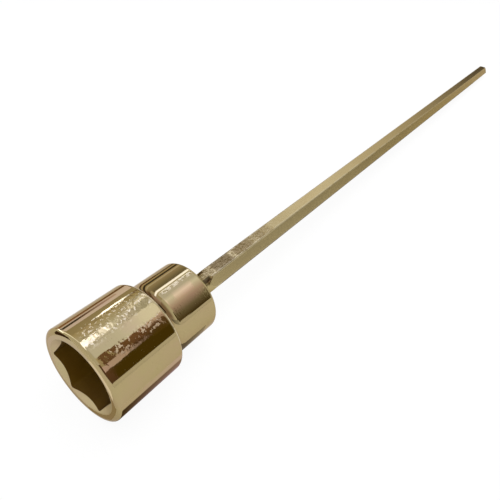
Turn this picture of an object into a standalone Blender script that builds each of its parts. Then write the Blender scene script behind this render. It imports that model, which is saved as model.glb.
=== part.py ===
"""Hexagon socket on a long hexagonal drive rod, held on the rod's square tang by a sprung ball.

Metres, +Z up. Every piece is modelled about the tool's own axis, which is the local X of one empty: the mouth
of the socket is at 0 and the free end of the rod at the overall length. The empty lays the tool on a bench,
where it touches with the rear edge of the socket's nose and the lower edge of the rod's free end.
"""

import math

import bmesh
import bpy
from mathutils import Matrix, Vector

# Nut cavity, open at the mouth
NUT_ACROSS_FLATS = 0.0170
NUT_PLAY = 0.0001
NUT_DEPTH = 0.0135
LEAD_IN_DEPTH = 0.0012
LEAD_IN_HALF_ANGLE = math.radians(30)

# Bores between the nut cavity and the square drive hole
STUD_BORE_DIAMETER = 0.0145
STUD_BORE_DEPTH = 0.0052
DRILL_POINT_HALF_ANGLE = math.radians(59)
WEB_HOLE_DIAMETER = 0.0084
WEB_THICKNESS = 0.0021
CHIP_RELIEF_LENGTH = 0.0008
DRIVE_DEPTH = 0.0115
DRIVE_MOUTH_CHAMFER = 0.0010

# Outside of the socket
NOSE_WALL = 0.00275
NOSE_LENGTH = 0.0197
COLLAR_STEP = 0.0024
MOUTH_EDGE_RADIUS = 0.0010
SHOULDER_EDGE_RADIUS = 0.0009
COLLAR_EDGE_RADIUS = 0.0008

# Drive rod
OVERALL_LENGTH = 0.3556
ROD_ACROSS_FLATS = 0.00635
ROD_END_CHAMFER = 0.0008
NECK_LENGTH = 0.0035
NECK_STEP = 0.0025
DRIVE_SQUARE = 0.0095
TANG_CORNER_CHAMFER = 0.0007
TANG_END_CHAMFER = 0.0008

# Ball detent in the upper flat of the tang
BALL_DIAMETER = 0.0040
BALL_PROTRUSION = 0.00055
BALL_SETBACK = 0.0052
POCKET_FLOOR = 0.0016
LIP_HEIGHT = 0.0006
SPRING_WIRE = 0.00045
SPRING_DIAMETER = 0.0032
SPRING_TURNS = 3.5

# Gaps and facets
FIT_GAP = 0.0003
ROUND_SEGMENTS = 64
BORE_SEGMENTS = 60
POCKET_SEGMENTS = 24
ARC_STEPS = 5
TURN_POINTS = 10
CUT_MARGIN = 0.001
MERGE_DISTANCE = 0.000001

# Sizes that follow from the ones above
NUT_HALF_FLATS = (NUT_ACROSS_FLATS + NUT_PLAY) / 2
NUT_CORNER_RADIUS = NUT_HALF_FLATS / math.cos(math.pi / 6)
LEAD_IN_RADIUS = NUT_HALF_FLATS + LEAD_IN_DEPTH * math.tan(LEAD_IN_HALF_ANGLE)
NOSE_RADIUS = NUT_CORNER_RADIUS + NOSE_WALL
COLLAR_RADIUS = NOSE_RADIUS - COLLAR_STEP
SHOULDER_FILLET = COLLAR_STEP - SHOULDER_EDGE_RADIUS

STUD_BORE_END = NUT_DEPTH + STUD_BORE_DEPTH
DRILL_POINT_LENGTH = (STUD_BORE_DIAMETER - WEB_HOLE_DIAMETER) / 2 / math.tan(DRILL_POINT_HALF_ANGLE)
WEB_END = STUD_BORE_END + DRILL_POINT_LENGTH + WEB_THICKNESS
DRIVE_LEDGE = WEB_END + CHIP_RELIEF_LENGTH
SOCKET_LENGTH = DRIVE_LEDGE + DRIVE_DEPTH

TANG_HALF = DRIVE_SQUARE / 2
DRIVE_HOLE_HALF = TANG_HALF + FIT_GAP
PILOT_RADIUS = TANG_HALF + BALL_PROTRUSION + FIT_GAP
TANG_END = DRIVE_LEDGE + FIT_GAP
NECK_START = SOCKET_LENGTH + FIT_GAP
ROD_HALF = ROD_ACROSS_FLATS / 2
ROD_CORNER_RADIUS = ROD_HALF / math.cos(math.pi / 6)

BALL_RADIUS = BALL_DIAMETER / 2
BALL_STATION = TANG_END + BALL_SETBACK
BALL_HEIGHT = TANG_HALF + BALL_PROTRUSION - BALL_RADIUS
LIP_RADIUS = math.sqrt(BALL_RADIUS**2 - (TANG_HALF - BALL_HEIGHT) ** 2) + FIT_GAP
POCKET_RADIUS = BALL_RADIUS + FIT_GAP
POCKET_BOTTOM = POCKET_FLOOR - TANG_HALF


def clear_scene():
    """Remove whatever the file holds."""
    for thing in list(bpy.data.objects):
        bpy.data.objects.remove(thing)


def metal(name, colour, roughness):
    """Plated steel of one colour."""
    material = bpy.data.materials.new(name)
    material.use_nodes = True
    shader = material.node_tree.nodes["Principled BSDF"]
    shader.inputs["Base Color"].default_value = (*colour, 1.0)
    shader.inputs["Metallic"].default_value = 1.0
    shader.inputs["Roughness"].default_value = roughness
    return material


def placed(name, data, carrier):
    """Object of a mesh or a curve on its carrier."""
    thing = bpy.data.objects.new(name, data)
    thing.parent = carrier
    bpy.context.scene.collection.objects.link(thing)
    return thing


def meshed(shape, name, carrier):
    """Object of a finished bmesh, with its faces turned outwards."""
    bmesh.ops.remove_doubles(shape, verts=shape.verts, dist=MERGE_DISTANCE)
    bmesh.ops.recalc_face_normals(shape, faces=shape.faces)
    mesh = bpy.data.meshes.new(name)
    shape.to_mesh(mesh)
    shape.free()
    mesh.shade_smooth()
    mesh.set_sharp_from_angle(angle=math.radians(30))
    return placed(name, mesh, carrier)


def arc(centre, radius, start, end):
    """Points of an arc in the plane of an outline, with its angles in degrees."""
    steps = [start + (end - start) * step / ARC_STEPS for step in range(ARC_STEPS + 1)]
    turns = [math.radians(step) for step in steps]
    return [(centre[0] + radius * math.cos(turn), centre[1] + radius * math.sin(turn)) for turn in turns]


def turned(name, outline, segments, carrier, placement=Matrix()):
    """Solid turned about X from an outline of (along, radius) points whose ends are on the axis."""
    shape = bmesh.new()
    points = [shape.verts.new((along, 0.0, -radius)) for along, radius in outline]
    edges = [shape.edges.new(pair) for pair in zip(points, points[1:])]
    bmesh.ops.spin(
        shape,
        geom=points + edges,
        axis=(1, 0, 0),
        cent=(0, 0, 0),
        angle=math.tau,
        steps=segments,
        use_merge=True,
    )
    bmesh.ops.transform(shape, matrix=placement, verts=shape.verts)
    return meshed(shape, name, carrier)


def extruded(section, start, end):
    """Bmesh of a (y, z) section drawn out along X."""
    shape = bmesh.new()
    face = shape.faces.new([shape.verts.new((start, y, z)) for y, z in section])
    grown = bmesh.ops.extrude_face_region(shape, geom=[face])["geom"]
    moved = [item for item in grown if isinstance(item, bmesh.types.BMVert)]
    bmesh.ops.translate(shape, verts=moved, vec=(end - start, 0, 0))
    return shape


def hexagon(half_flats):
    """Section of a hexagon that has two flats level, one above and one below."""
    radius = half_flats / math.cos(math.pi / 6)
    return [(radius * math.cos(k * math.pi / 3), radius * math.sin(k * math.pi / 3)) for k in range(6)]


def square(half_flats):
    """Section of a square with two flats level."""
    return [(half_flats * y, half_flats * z) for y, z in ((-1, -1), (1, -1), (1, 1), (-1, 1))]


def boolean(target, tool, operation):
    """Cut the target with a tool, join the tool to it, or keep what they share."""
    tool.hide_render = True
    tool.display_type = "WIRE"
    modifier = target.modifiers.new(tool.name, "BOOLEAN")
    modifier.operation = operation
    modifier.solver = "EXACT"
    modifier.object = tool


def build_socket(carrier):
    """Turned body, bored along its axis, with a hexagon cavity at the mouth and a square hole at the rear."""
    outline = [(0.0, 0.0)]
    outline += arc((MOUTH_EDGE_RADIUS, NOSE_RADIUS - MOUTH_EDGE_RADIUS), MOUTH_EDGE_RADIUS, 180, 90)
    outline += arc(
        (NOSE_LENGTH - SHOULDER_EDGE_RADIUS, NOSE_RADIUS - SHOULDER_EDGE_RADIUS), SHOULDER_EDGE_RADIUS, 90, 0
    )
    outline += arc((NOSE_LENGTH + SHOULDER_FILLET, COLLAR_RADIUS + SHOULDER_FILLET), SHOULDER_FILLET, 180, 270)[1:]
    outline += arc(
        (SOCKET_LENGTH - COLLAR_EDGE_RADIUS, COLLAR_RADIUS - COLLAR_EDGE_RADIUS), COLLAR_EDGE_RADIUS, 90, 0
    )
    outline += [(SOCKET_LENGTH, 0.0)]
    socket = turned("socket", outline, ROUND_SEGMENTS, carrier)

    cavity = extruded(hexagon(NUT_HALF_FLATS), -CUT_MARGIN, NUT_DEPTH)
    boolean(socket, meshed(cavity, "nut_cavity", carrier), "DIFFERENCE")
    drive_hole = extruded(square(DRIVE_HOLE_HALF), DRIVE_LEDGE, SOCKET_LENGTH + CUT_MARGIN)
    boolean(socket, meshed(drive_hole, "drive_hole", carrier), "DIFFERENCE")

    stud_radius = STUD_BORE_DIAMETER / 2
    web_radius = WEB_HOLE_DIAMETER / 2
    lead_in_slope = math.tan(LEAD_IN_HALF_ANGLE)
    bore = [
        (-CUT_MARGIN, 0.0),
        (-CUT_MARGIN, LEAD_IN_RADIUS + CUT_MARGIN * lead_in_slope),
        ((LEAD_IN_RADIUS - stud_radius) / lead_in_slope, stud_radius),
        (STUD_BORE_END, stud_radius),
        (STUD_BORE_END + DRILL_POINT_LENGTH, web_radius),
        (WEB_END, web_radius),
        (WEB_END, PILOT_RADIUS),
        (SOCKET_LENGTH - DRIVE_MOUTH_CHAMFER, PILOT_RADIUS),
        (SOCKET_LENGTH + CUT_MARGIN, PILOT_RADIUS + DRIVE_MOUTH_CHAMFER + CUT_MARGIN),
        (SOCKET_LENGTH + CUT_MARGIN, 0.0),
    ]
    boolean(socket, turned("axial_bore", bore, BORE_SEGMENTS, carrier), "DIFFERENCE")
    socket.data.materials.append(metal("polished_plating", (0.56, 0.47, 0.33), 0.12))


def build_drive_rod(carrier):
    """Hexagonal bar with a turned chamfer at its free end, upset to a necked square tang at the other."""
    bar = extruded(hexagon(ROD_HALF), NECK_START, OVERALL_LENGTH)
    rod = meshed(bar, "drive_rod", carrier)
    envelope_radius = ROD_CORNER_RADIUS + CUT_MARGIN
    envelope = [
        (NECK_START - CUT_MARGIN, 0.0),
        (NECK_START - CUT_MARGIN, envelope_radius),
        (OVERALL_LENGTH - ROD_END_CHAMFER - CUT_MARGIN, envelope_radius),
        (OVERALL_LENGTH + CUT_MARGIN, ROD_CORNER_RADIUS - ROD_END_CHAMFER - CUT_MARGIN),
        (OVERALL_LENGTH + CUT_MARGIN, 0.0),
    ]
    boolean(rod, turned("rod_end_turning", envelope, ROUND_SEGMENTS, carrier), "INTERSECT")

    neck = [(NECK_START, 0.0)]
    for step in range(ARC_STEPS + 1):
        turn = math.pi / 2 * step / ARC_STEPS
        along = NECK_START + NECK_LENGTH * (1 - math.cos(turn))
        neck.append((along, ROD_HALF + NECK_STEP * (1 - math.sin(turn))))
    neck += [(NECK_START + NECK_LENGTH, 0.0)]
    boolean(rod, turned("neck", neck, BORE_SEGMENTS, carrier), "UNION")

    tang = extruded(square(TANG_HALF), NECK_START + CUT_MARGIN, TANG_END)
    long_edges = [edge for edge in tang.edges if edge.verts[0].co.x != edge.verts[1].co.x]
    bmesh.ops.bevel(
        tang, geom=long_edges, offset=TANG_CORNER_CHAMFER, segments=1, profile=0.5, affect="EDGES", material=-1
    )
    end_edges = [edge for edge in tang.edges if all(abs(v.co.x - TANG_END) < MERGE_DISTANCE for v in edge.verts)]
    bmesh.ops.bevel(
        tang, geom=end_edges, offset=TANG_END_CHAMFER, segments=1, profile=0.5, affect="EDGES", material=-1
    )
    boolean(rod, meshed(tang, "tang", carrier), "UNION")

    pocket = [
        (POCKET_BOTTOM, 0.0),
        (POCKET_BOTTOM, POCKET_RADIUS),
        (TANG_HALF - LIP_HEIGHT, POCKET_RADIUS),
        (TANG_HALF, LIP_RADIUS),
        (TANG_HALF + CUT_MARGIN, LIP_RADIUS),
        (TANG_HALF + CUT_MARGIN, 0.0),
    ]
    upright = Matrix.Translation((BALL_STATION, 0, 0)) @ Matrix.Rotation(-math.pi / 2, 4, "Y")
    boolean(rod, turned("ball_pocket", pocket, POCKET_SEGMENTS, carrier, upright), "DIFFERENCE")
    rod.data.materials.append(metal("satin_plating", (0.42, 0.34, 0.22), 0.3))


def build_detent_ball(carrier):
    """Steel ball that stands proud of the tang's upper flat, with its origin at its centre."""
    shape = bmesh.new()
    bmesh.ops.create_uvsphere(shape, u_segments=POCKET_SEGMENTS, v_segments=POCKET_SEGMENTS // 2, radius=BALL_RADIUS)
    ball = meshed(shape, "detent_ball", carrier)
    ball.location = (BALL_STATION, 0, BALL_HEIGHT)
    ball.data.materials.append(metal("ball_steel", (0.6, 0.58, 0.55), 0.1))


def spring_points():
    """Helix from the floor of the pocket to the underside of the ball, with its least gap to itself."""
    coil_radius = (SPRING_DIAMETER - SPRING_WIRE) / 2
    wire_gap = FIT_GAP + SPRING_WIRE / 2
    bottom = POCKET_BOTTOM + wire_gap
    top = BALL_HEIGHT - math.sqrt((BALL_RADIUS + wire_gap) ** 2 - coil_radius**2)
    count = round(SPRING_TURNS * TURN_POINTS)
    points = []
    for index in range(count + 1):
        turn = math.tau * index / TURN_POINTS
        height = bottom + (top - bottom) * index / count
        points.append(Vector((coil_radius * math.cos(turn), coil_radius * math.sin(turn), height)))
    apart = TURN_POINTS // 2
    gaps = [(b - a).length for i, a in enumerate(points) for b in points[i + apart :]]
    return points, min(gaps) - SPRING_WIRE


def build_detent_spring(carrier):
    """Coil of round wire that stands in the pocket under the ball."""
    points, least_gap = spring_points()
    print(f"detent_spring least gap between turns: {least_gap * 1000:.3f} mm")
    curve = bpy.data.curves.new("detent_spring", "CURVE")
    curve.dimensions = "3D"
    curve.bevel_depth = SPRING_WIRE / 2
    curve.bevel_resolution = 1
    curve.use_fill_caps = True
    spline = curve.splines.new("POLY")
    spline.points.add(len(points) - 1)
    for target, point in zip(spline.points, points):
        target.co = (*point, 1.0)
    spring = placed("detent_spring", curve, carrier)
    spring.location = (BALL_STATION, 0, 0)
    curve.materials.append(metal("spring_steel", (0.35, 0.34, 0.33), 0.3))


def lay_on_bench(carrier):
    """Tilt the tool until the nose's rear edge and the rod's free end both touch the bench, and centre it."""
    edge_along = NOSE_LENGTH - SHOULDER_EDGE_RADIUS
    flat_cut = max(0.0, ROD_END_CHAMFER - (ROD_CORNER_RADIUS - ROD_HALF))
    rod_end = OVERALL_LENGTH - flat_cut
    run = rod_end - edge_along
    drop = NOSE_RADIUS - SHOULDER_EDGE_RADIUS - ROD_HALF
    tilt = math.atan2(drop, run) + math.asin(SHOULDER_EDGE_RADIUS / math.hypot(drop, run))
    lift = rod_end * math.sin(tilt) + ROD_HALF * math.cos(tilt)
    front_reach = NOSE_RADIUS - MOUTH_EDGE_RADIUS
    front = MOUTH_EDGE_RADIUS * (math.cos(tilt) - 1) - front_reach * math.sin(tilt)
    rear = OVERALL_LENGTH * math.cos(tilt) + (ROD_HALF - flat_cut) * math.sin(tilt)
    carrier.rotation_euler = (0, tilt, 0)
    carrier.location = (-(front + rear) / 2, 0, lift)


def main():
    """Build every piece on one carrier and lay the tool down."""
    clear_scene()
    carrier = placed("tool_axis", None, None)
    build_socket(carrier)
    build_drive_rod(carrier)
    build_detent_ball(carrier)
    build_detent_spring(carrier)
    lay_on_bench(carrier)


main()
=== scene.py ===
"""Looks of a socket wrench: a plated socket with a hexagon mouth on a long hexagonal drive rod.

Every size is in metres. The pieces are modelled along the tool's own axis, X from the mouth to the rod's free
end with Z up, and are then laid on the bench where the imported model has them.
"""

import logging
import math
from collections.abc import Callable, Iterable
from dataclasses import dataclass, field
from enum import Enum
from functools import cached_property, partial, reduce

import bmesh
import bpy
from mathutils import Matrix, Vector


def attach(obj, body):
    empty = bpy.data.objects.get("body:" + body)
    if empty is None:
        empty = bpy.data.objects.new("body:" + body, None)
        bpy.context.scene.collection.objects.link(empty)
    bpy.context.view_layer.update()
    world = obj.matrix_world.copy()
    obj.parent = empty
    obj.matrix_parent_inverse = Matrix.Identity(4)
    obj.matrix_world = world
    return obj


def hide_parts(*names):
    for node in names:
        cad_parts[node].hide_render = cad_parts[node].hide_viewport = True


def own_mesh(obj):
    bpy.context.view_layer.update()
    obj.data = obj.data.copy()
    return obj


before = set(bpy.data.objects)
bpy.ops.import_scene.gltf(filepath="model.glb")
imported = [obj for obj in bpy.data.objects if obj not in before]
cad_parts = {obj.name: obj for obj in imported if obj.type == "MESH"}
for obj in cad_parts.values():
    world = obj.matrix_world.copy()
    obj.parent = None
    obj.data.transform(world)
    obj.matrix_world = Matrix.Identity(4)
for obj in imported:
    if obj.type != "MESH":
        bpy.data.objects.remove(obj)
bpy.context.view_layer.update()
LOG = logging.getLogger("socket_wrench")

Point = tuple[float, float, float]
Colour = tuple[float, float, float]
Span = tuple[float, float]
Band = tuple[float, float, float]  # where it starts, where it ends, and how soft its edges are
Profile = list[Span]
Reach = Callable[[float], float]
Row = Callable[[float], Point]
Shape = bmesh.types.BMesh
Piece = bpy.types.Object
Signal = bpy.types.NodeSocket
Level = Signal | float

HEXAGON_PITCH = math.pi / 3
LEAD_IN_RADIUS = 0.0101
LEAD_IN_SLOPE = math.tan(math.radians(58))
SAMPLE_TURN = math.radians(17)  # where a row's size is read before the spin
WELD_DISTANCE = 2e-7
SLIVER_SIZE = 1e-8
CARD_STEP = 2  # degrees of lean to each step of a bent card
MILLIMETRES = 1000  # in a metre
MIX_FIRST, MIX_SECOND, MIX_RESULT = 6, 7, 2  # colour sockets of a Mix node


class Grade(Enum):
    """Which way the glow of a studio card runs from its first level to its second."""

    ACROSS = "across"
    ALONG = "along"


class Tint(Enum):
    """Colour cast of a studio card."""

    NEUTRAL = (1.0, 1.0, 1.0)
    COOL = (1.0, 1.04, 1.25)
    BRIGHT = (1.0, 1.1, 1.65)
    WARM = (1.1, 0.98, 0.75)
    ROSE = (1.12, 0.9, 1.05)
    BLUSH = (1.0, 0.93, 1.25)
    BROWN = (1.4, 0.78, 0.45)
    OLIVE = (1.3, 0.85, 0.1)


@dataclass(frozen=True)
class Lay:
    """How the tool lies on the bench: its axis dips from the mouth towards the rod's free end."""

    mouth_x: float = -0.177607
    mouth_z: float = 0.013146
    dip: float = math.radians(1.608336)

    def matrix(self) -> Matrix:
        """Placement of the tool's own axes in the frame."""
        return Matrix.Translation((self.mouth_x, 0.0, self.mouth_z)) @ Matrix.Rotation(self.dip, 4, "Y")

    def point(self, along: float, side: float, up: float) -> Vector:
        """Place in the frame of a point given on the tool's own axes."""
        return self.matrix() @ Vector((along, side, up))


LAY = Lay()


# --- Shared shaping -------------------------------------------------------------------------------


def polygon_reach(half_flats: float, sides: int, turn: float) -> float:
    """Distance from the axis to the outline of a regular polygon with two flats level.

    Args:
        half_flats: Half the size across the flats.
        sides: Number of sides.
        turn: Angle round the axis from +Y towards +Z.

    Returns:
        The outline's distance in that direction.
    """
    pitch = math.tau / sides
    off_flat = (turn - math.pi / 2 + pitch / 2) % pitch - pitch / 2
    return half_flats / math.cos(off_flat)


def rounded_hexagon(half_flats: float, corner_round: float, turn: float) -> float:
    """Distance from the axis to the outline of a hexagon with rounded corners and two flats level.

    Args:
        half_flats: Half the size across the flats.
        corner_round: Radius of the corners.
        turn: Angle round the axis from +Y towards +Z.

    Returns:
        The outline's distance in that direction.
    """
    half = HEXAGON_PITCH / 2
    off = abs(turn - round(turn / HEXAGON_PITCH) * HEXAGON_PITCH)
    centre = (half_flats - corner_round) / math.cos(half)
    tangent = math.atan2(corner_round * math.sin(half), centre + corner_round * math.cos(half))
    if off >= tangent:
        return half_flats / math.cos(half - off)
    return centre * math.cos(off) + math.sqrt(corner_round**2 - (centre * math.sin(off)) ** 2)


def fillet(
    centre: Span,
    radius: float,
    start: float,
    end: float,
    steps: int = 16,
    flat: float = 1.0,
) -> Profile:
    """Points of an arc in the plane of a profile.

    Args:
        centre: Centre as (along, out from the axis).
        radius: Radius of the arc, measured out from the axis.
        start: First angle, in degrees.
        end: Last angle, in degrees.
        steps: Number of chords.
        flat: Share of the radius that the arc has along the axis.

    Returns:
        The points as (along, out from the axis).
    """
    along, out = centre
    turns = [math.radians(start + (end - start) * step / steps) for step in range(steps + 1)]
    return [(along + flat * radius * math.cos(turn), out + radius * math.sin(turn)) for turn in turns]


def polar(along: float, reach: float, turn: float) -> Point:
    """Place at one distance from the axis and one angle round it."""
    return along, reach * math.cos(turn), reach * math.sin(turn)


def outline(along: float, reach: Reach) -> Row:
    """Row of a spun piece whose reach a function gives."""
    return lambda turn: polar(along, reach(turn), turn)


def rings(profile: Profile) -> list[Row]:
    """Rows of a spun piece that are plain circles on a profile."""
    return [partial(polar, along, reach) for along, reach in profile]


def spun(rows: list[Row], columns: int, closed: bool) -> tuple[Shape, bmesh.types.BMLayerItem]:
    """Spin a profile about X and press each of its rows to that row's own outline.

    Args:
        rows: Outline of each row, as a place for every angle round the axis.
        columns: Number of steps in the full turn.
        closed: Whether the last row joins the first.

    Returns:
        The bmesh, and the layer that numbers its rows.
    """
    shape = bmesh.new()
    number = shape.verts.layers.int.new("row")
    points = []
    for index, row in enumerate(rows):
        along, side, up = row(SAMPLE_TURN)
        point = shape.verts.new((along, math.hypot(side, up), 0.0))
        point[number] = index
        points.append(point)
    pairs = list(zip(points, points[1:])) + ([(points[-1], points[0])] if closed else [])
    edges = [shape.edges.new(pair) for pair in pairs]
    bmesh.ops.spin(
        shape,
        geom=points + edges,
        cent=(0, 0, 0),
        axis=(1, 0, 0),
        angle=math.tau,
        steps=columns,
        use_merge=True,
    )
    for vertex in shape.verts:
        vertex.co = rows[vertex[number]](math.atan2(vertex.co.z, vertex.co.y))
    return shape, number


def linked(shape: Shape, name: str) -> Piece:
    """Turn a bmesh into an object at the origin.

    Args:
        shape: Bmesh in the frame, freed here.
        name: Name of the object and its mesh.

    Returns:
        The new object, linked to the scene.
    """
    mesh = bpy.data.meshes.new(name)
    shape.to_mesh(mesh)
    shape.free()
    made = bpy.data.objects.new(name, mesh)
    bpy.context.scene.collection.objects.link(made)
    return made


def finished(shape: Shape, name: str, crease: float, place: Matrix) -> Piece:
    """Close a bmesh, turn its faces outwards and make it an object that sits at the origin.

    Args:
        shape: Bmesh on the tool's own axes.
        name: Name of the piece.
        crease: Angle in degrees from which an edge stays sharp.
        place: Placement that is applied to the mesh.

    Returns:
        The new object, linked to the scene.
    """
    bmesh.ops.remove_doubles(shape, verts=shape.verts, dist=WELD_DISTANCE)
    bmesh.ops.dissolve_degenerate(shape, edges=shape.edges, dist=SLIVER_SIZE)
    bmesh.ops.recalc_face_normals(shape, faces=shape.faces)
    bmesh.ops.transform(shape, matrix=place, verts=shape.verts)
    piece = linked(shape, name)
    piece.data.shade_smooth()
    piece.data.set_sharp_from_angle(angle=math.radians(crease))
    return piece


# --- Nodes ----------------------------------------------------------------------------------------


@dataclass(frozen=True)
class Grain:
    """A noise on the tool's own axes.

    Its scale is the number of grains to a metre, its detail the octaves of finer noise, its step the values
    between which a spot sets in, and its stretch and turn the scale along each axis and the turn about each.
    """

    scale: float
    detail: float = 2.0
    step: Span = (0.3, 0.7)
    stretch: Point = (1.0, 1.0, 1.0)
    turn: Point = (0.0, 0.0, 0.0)


class Nodes:
    """A node tree in the making."""

    def __init__(self, tree: bpy.types.NodeTree) -> None:
        """Take up a tree."""
        self.tree = tree

    def node(self, kind: str, inputs: dict | None = None, **settings: object) -> bpy.types.Node:
        """Add a node.

        Args:
            kind: Type of the node, without its ShaderNode prefix.
            inputs: Value or signal for each input, by name or number.
            settings: Properties of the node.

        Returns:
            The new node.
        """
        made = self.tree.nodes.new("ShaderNode" + kind)
        for key, value in settings.items():
            setattr(made, key, value)
        for key, value in (inputs or {}).items():
            self.feed(made.inputs[key], value)
        return made

    def feed(self, socket: Signal, value: object) -> None:
        """Link a signal to an input, or set the input's own value.

        Args:
            socket: The input.
            value: Signal, number, vector, or colour without its alpha.
        """
        if isinstance(value, Signal):
            self.tree.links.new(value, socket)
        else:
            socket.default_value = (*value, 1.0) if socket.type == "RGBA" else value

    def math(self, operation: str, *values: Level) -> Signal:
        """Result of a Math node."""
        return self.node("Math", dict(enumerate(values)), operation=operation).outputs[0]

    def times(self, *values: Level) -> Signal:
        """Product of two or more values."""
        return reduce(partial(self.math, "MULTIPLY"), values)

    def most(self, *values: Level) -> Signal:
        """Greatest of two or more values."""
        return reduce(partial(self.math, "MAXIMUM"), values)

    def white_share(self, seen: float, mirrored: float) -> Signal:
        """Share of plain white for each kind of ray.

        Args:
            seen: Share that the camera sees.
            mirrored: Share that metal and glass show.

        Returns:
            The share.
        """
        path = self.node("LightPath").outputs
        either = self.most(path["Is Glossy Ray"], path["Is Transmission Ray"])
        return self.math("MULTIPLY_ADD", path["Is Camera Ray"], seen, self.times(either, mirrored))


class Recipe(Nodes):
    """A material in the making, whose patterns run on the tool's own axes."""

    def __init__(self, name: str) -> None:
        """Start a material with a plain Principled shader.

        Args:
            name: Name of the material.
        """
        self.material = bpy.data.materials.new(name)
        self.material.use_nodes = True
        super().__init__(self.material.node_tree)
        self.shader = self.tree.nodes["Principled BSDF"]

    def dress(self, **inputs: object) -> bpy.types.Material:
        """Set the shader's own inputs.

        Args:
            inputs: Value or signal for each input, by its name with underscores for spaces.

        Returns:
            The material.
        """
        for key, value in inputs.items():
            self.feed(self.shader.inputs[key.replace("_", " ")], value)
        return self.material

    def surface(self, shader: Signal) -> None:
        """Put another shader on the surface."""
        self.feed(self.tree.nodes["Material Output"].inputs["Surface"], shader)

    @cached_property
    def axes(self) -> Signal:
        """Coordinates along the tool's own axes, from the middle of the mouth.

        Returns:
            The coordinates as a vector.
        """
        back = LAY.matrix().inverted()
        laid = self.node("TexCoord").outputs["Object"]
        inputs = {"Vector": laid, "Location": back.translation, "Rotation": back.to_euler()}
        return self.node("Mapping", inputs).outputs["Vector"]

    @cached_property
    def parts(self) -> tuple[Signal, ...]:
        """The three coordinates: along the tool, to its side, and up."""
        return tuple(self.node("SeparateXYZ", {"Vector": self.axes}).outputs)

    @property
    def along(self) -> Signal:
        """Distance from the mouth."""
        return self.parts[0]

    @property
    def up(self) -> Signal:
        """Height over the tool's axis."""
        return self.parts[2]

    @cached_property
    def reach(self) -> Signal:
        """Distance from the tool's axis."""
        _, side, up = self.parts
        return self.math("SQRT", self.math("ADD", self.times(side, side), self.times(up, up)))

    @cached_property
    def turn(self) -> Signal:
        """Angle round the tool's axis, from straight up towards the camera's side."""
        _, side, up = self.parts
        return self.math("ARCTAN2", self.times(side, -1.0), up)

    def noise(self, grain: Grain) -> Signal:
        """Noise on the tool's own axes.

        Args:
            grain: Which noise.

        Returns:
            The noise, from 0 to 1.
        """
        shaped = self.node("Mapping", {"Vector": self.axes, "Rotation": grain.turn, "Scale": grain.stretch})
        inputs = {"Vector": shaped.outputs["Vector"], "Scale": grain.scale, "Detail": grain.detail}
        return self.node("TexNoise", inputs).outputs["Fac"]

    def ramp(self, value: Level, low: float, high: float, first: float = 0.0, last: float = 1.0) -> Signal:
        """Smooth step of a value between two limits, from a first level to a last one."""
        inputs = {"Value": value, "From Min": low, "From Max": high, "To Min": first, "To Max": last}
        return self.node("MapRange", inputs, interpolation_type="SMOOTHSTEP").outputs["Result"]

    def spots(self, grain: Grain) -> Signal:
        """Noise that is stepped to spots."""
        return self.ramp(self.noise(grain), *grain.step)

    def band(self, value: Level, start: float, end: float, soft: float) -> Signal:
        """One between two limits and nothing outside them, with soft edges."""
        rise = self.ramp(value, start - soft, start + soft)
        return self.times(rise, self.ramp(value, end - soft, end + soft, 1.0, 0.0))

    def length(self, band: Band) -> Signal:
        """Share of a band along the tool."""
        return self.band(self.along, *band)

    def sector(self, band: Band) -> Signal:
        """Share of a band round the tool, given in degrees."""
        return self.band(self.turn, *map(math.radians, band))

    def off(self, value: Level, middle: float) -> Signal:
        """Distance of a value from a middle one."""
        return self.math("ABSOLUTE", self.math("SUBTRACT", value, middle))

    def blend(self, share: Level, first: Signal | Colour, second: Signal | Colour) -> Signal:
        """Mix of two colours."""
        inputs = {0: share, MIX_FIRST: first, MIX_SECOND: second}
        return self.node("Mix", inputs, data_type="RGBA").outputs[MIX_RESULT]

    def bump(self, height: Signal, depth: float, below: Signal | None = None) -> Signal:
        """Normal of a surface that is raised by a pattern.

        Args:
            height: Pattern, from 0 to 1.
            depth: Height of the pattern in metres.
            below: Normal that the pattern is laid on.

        Returns:
            The raised normal.
        """
        inputs = {"Height": height, "Distance": depth, "Strength": 1.0}
        if below is not None:
            inputs["Normal"] = below
        return self.node("Bump", inputs).outputs["Normal"]


# --- Finishes -------------------------------------------------------------------------------------


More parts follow.
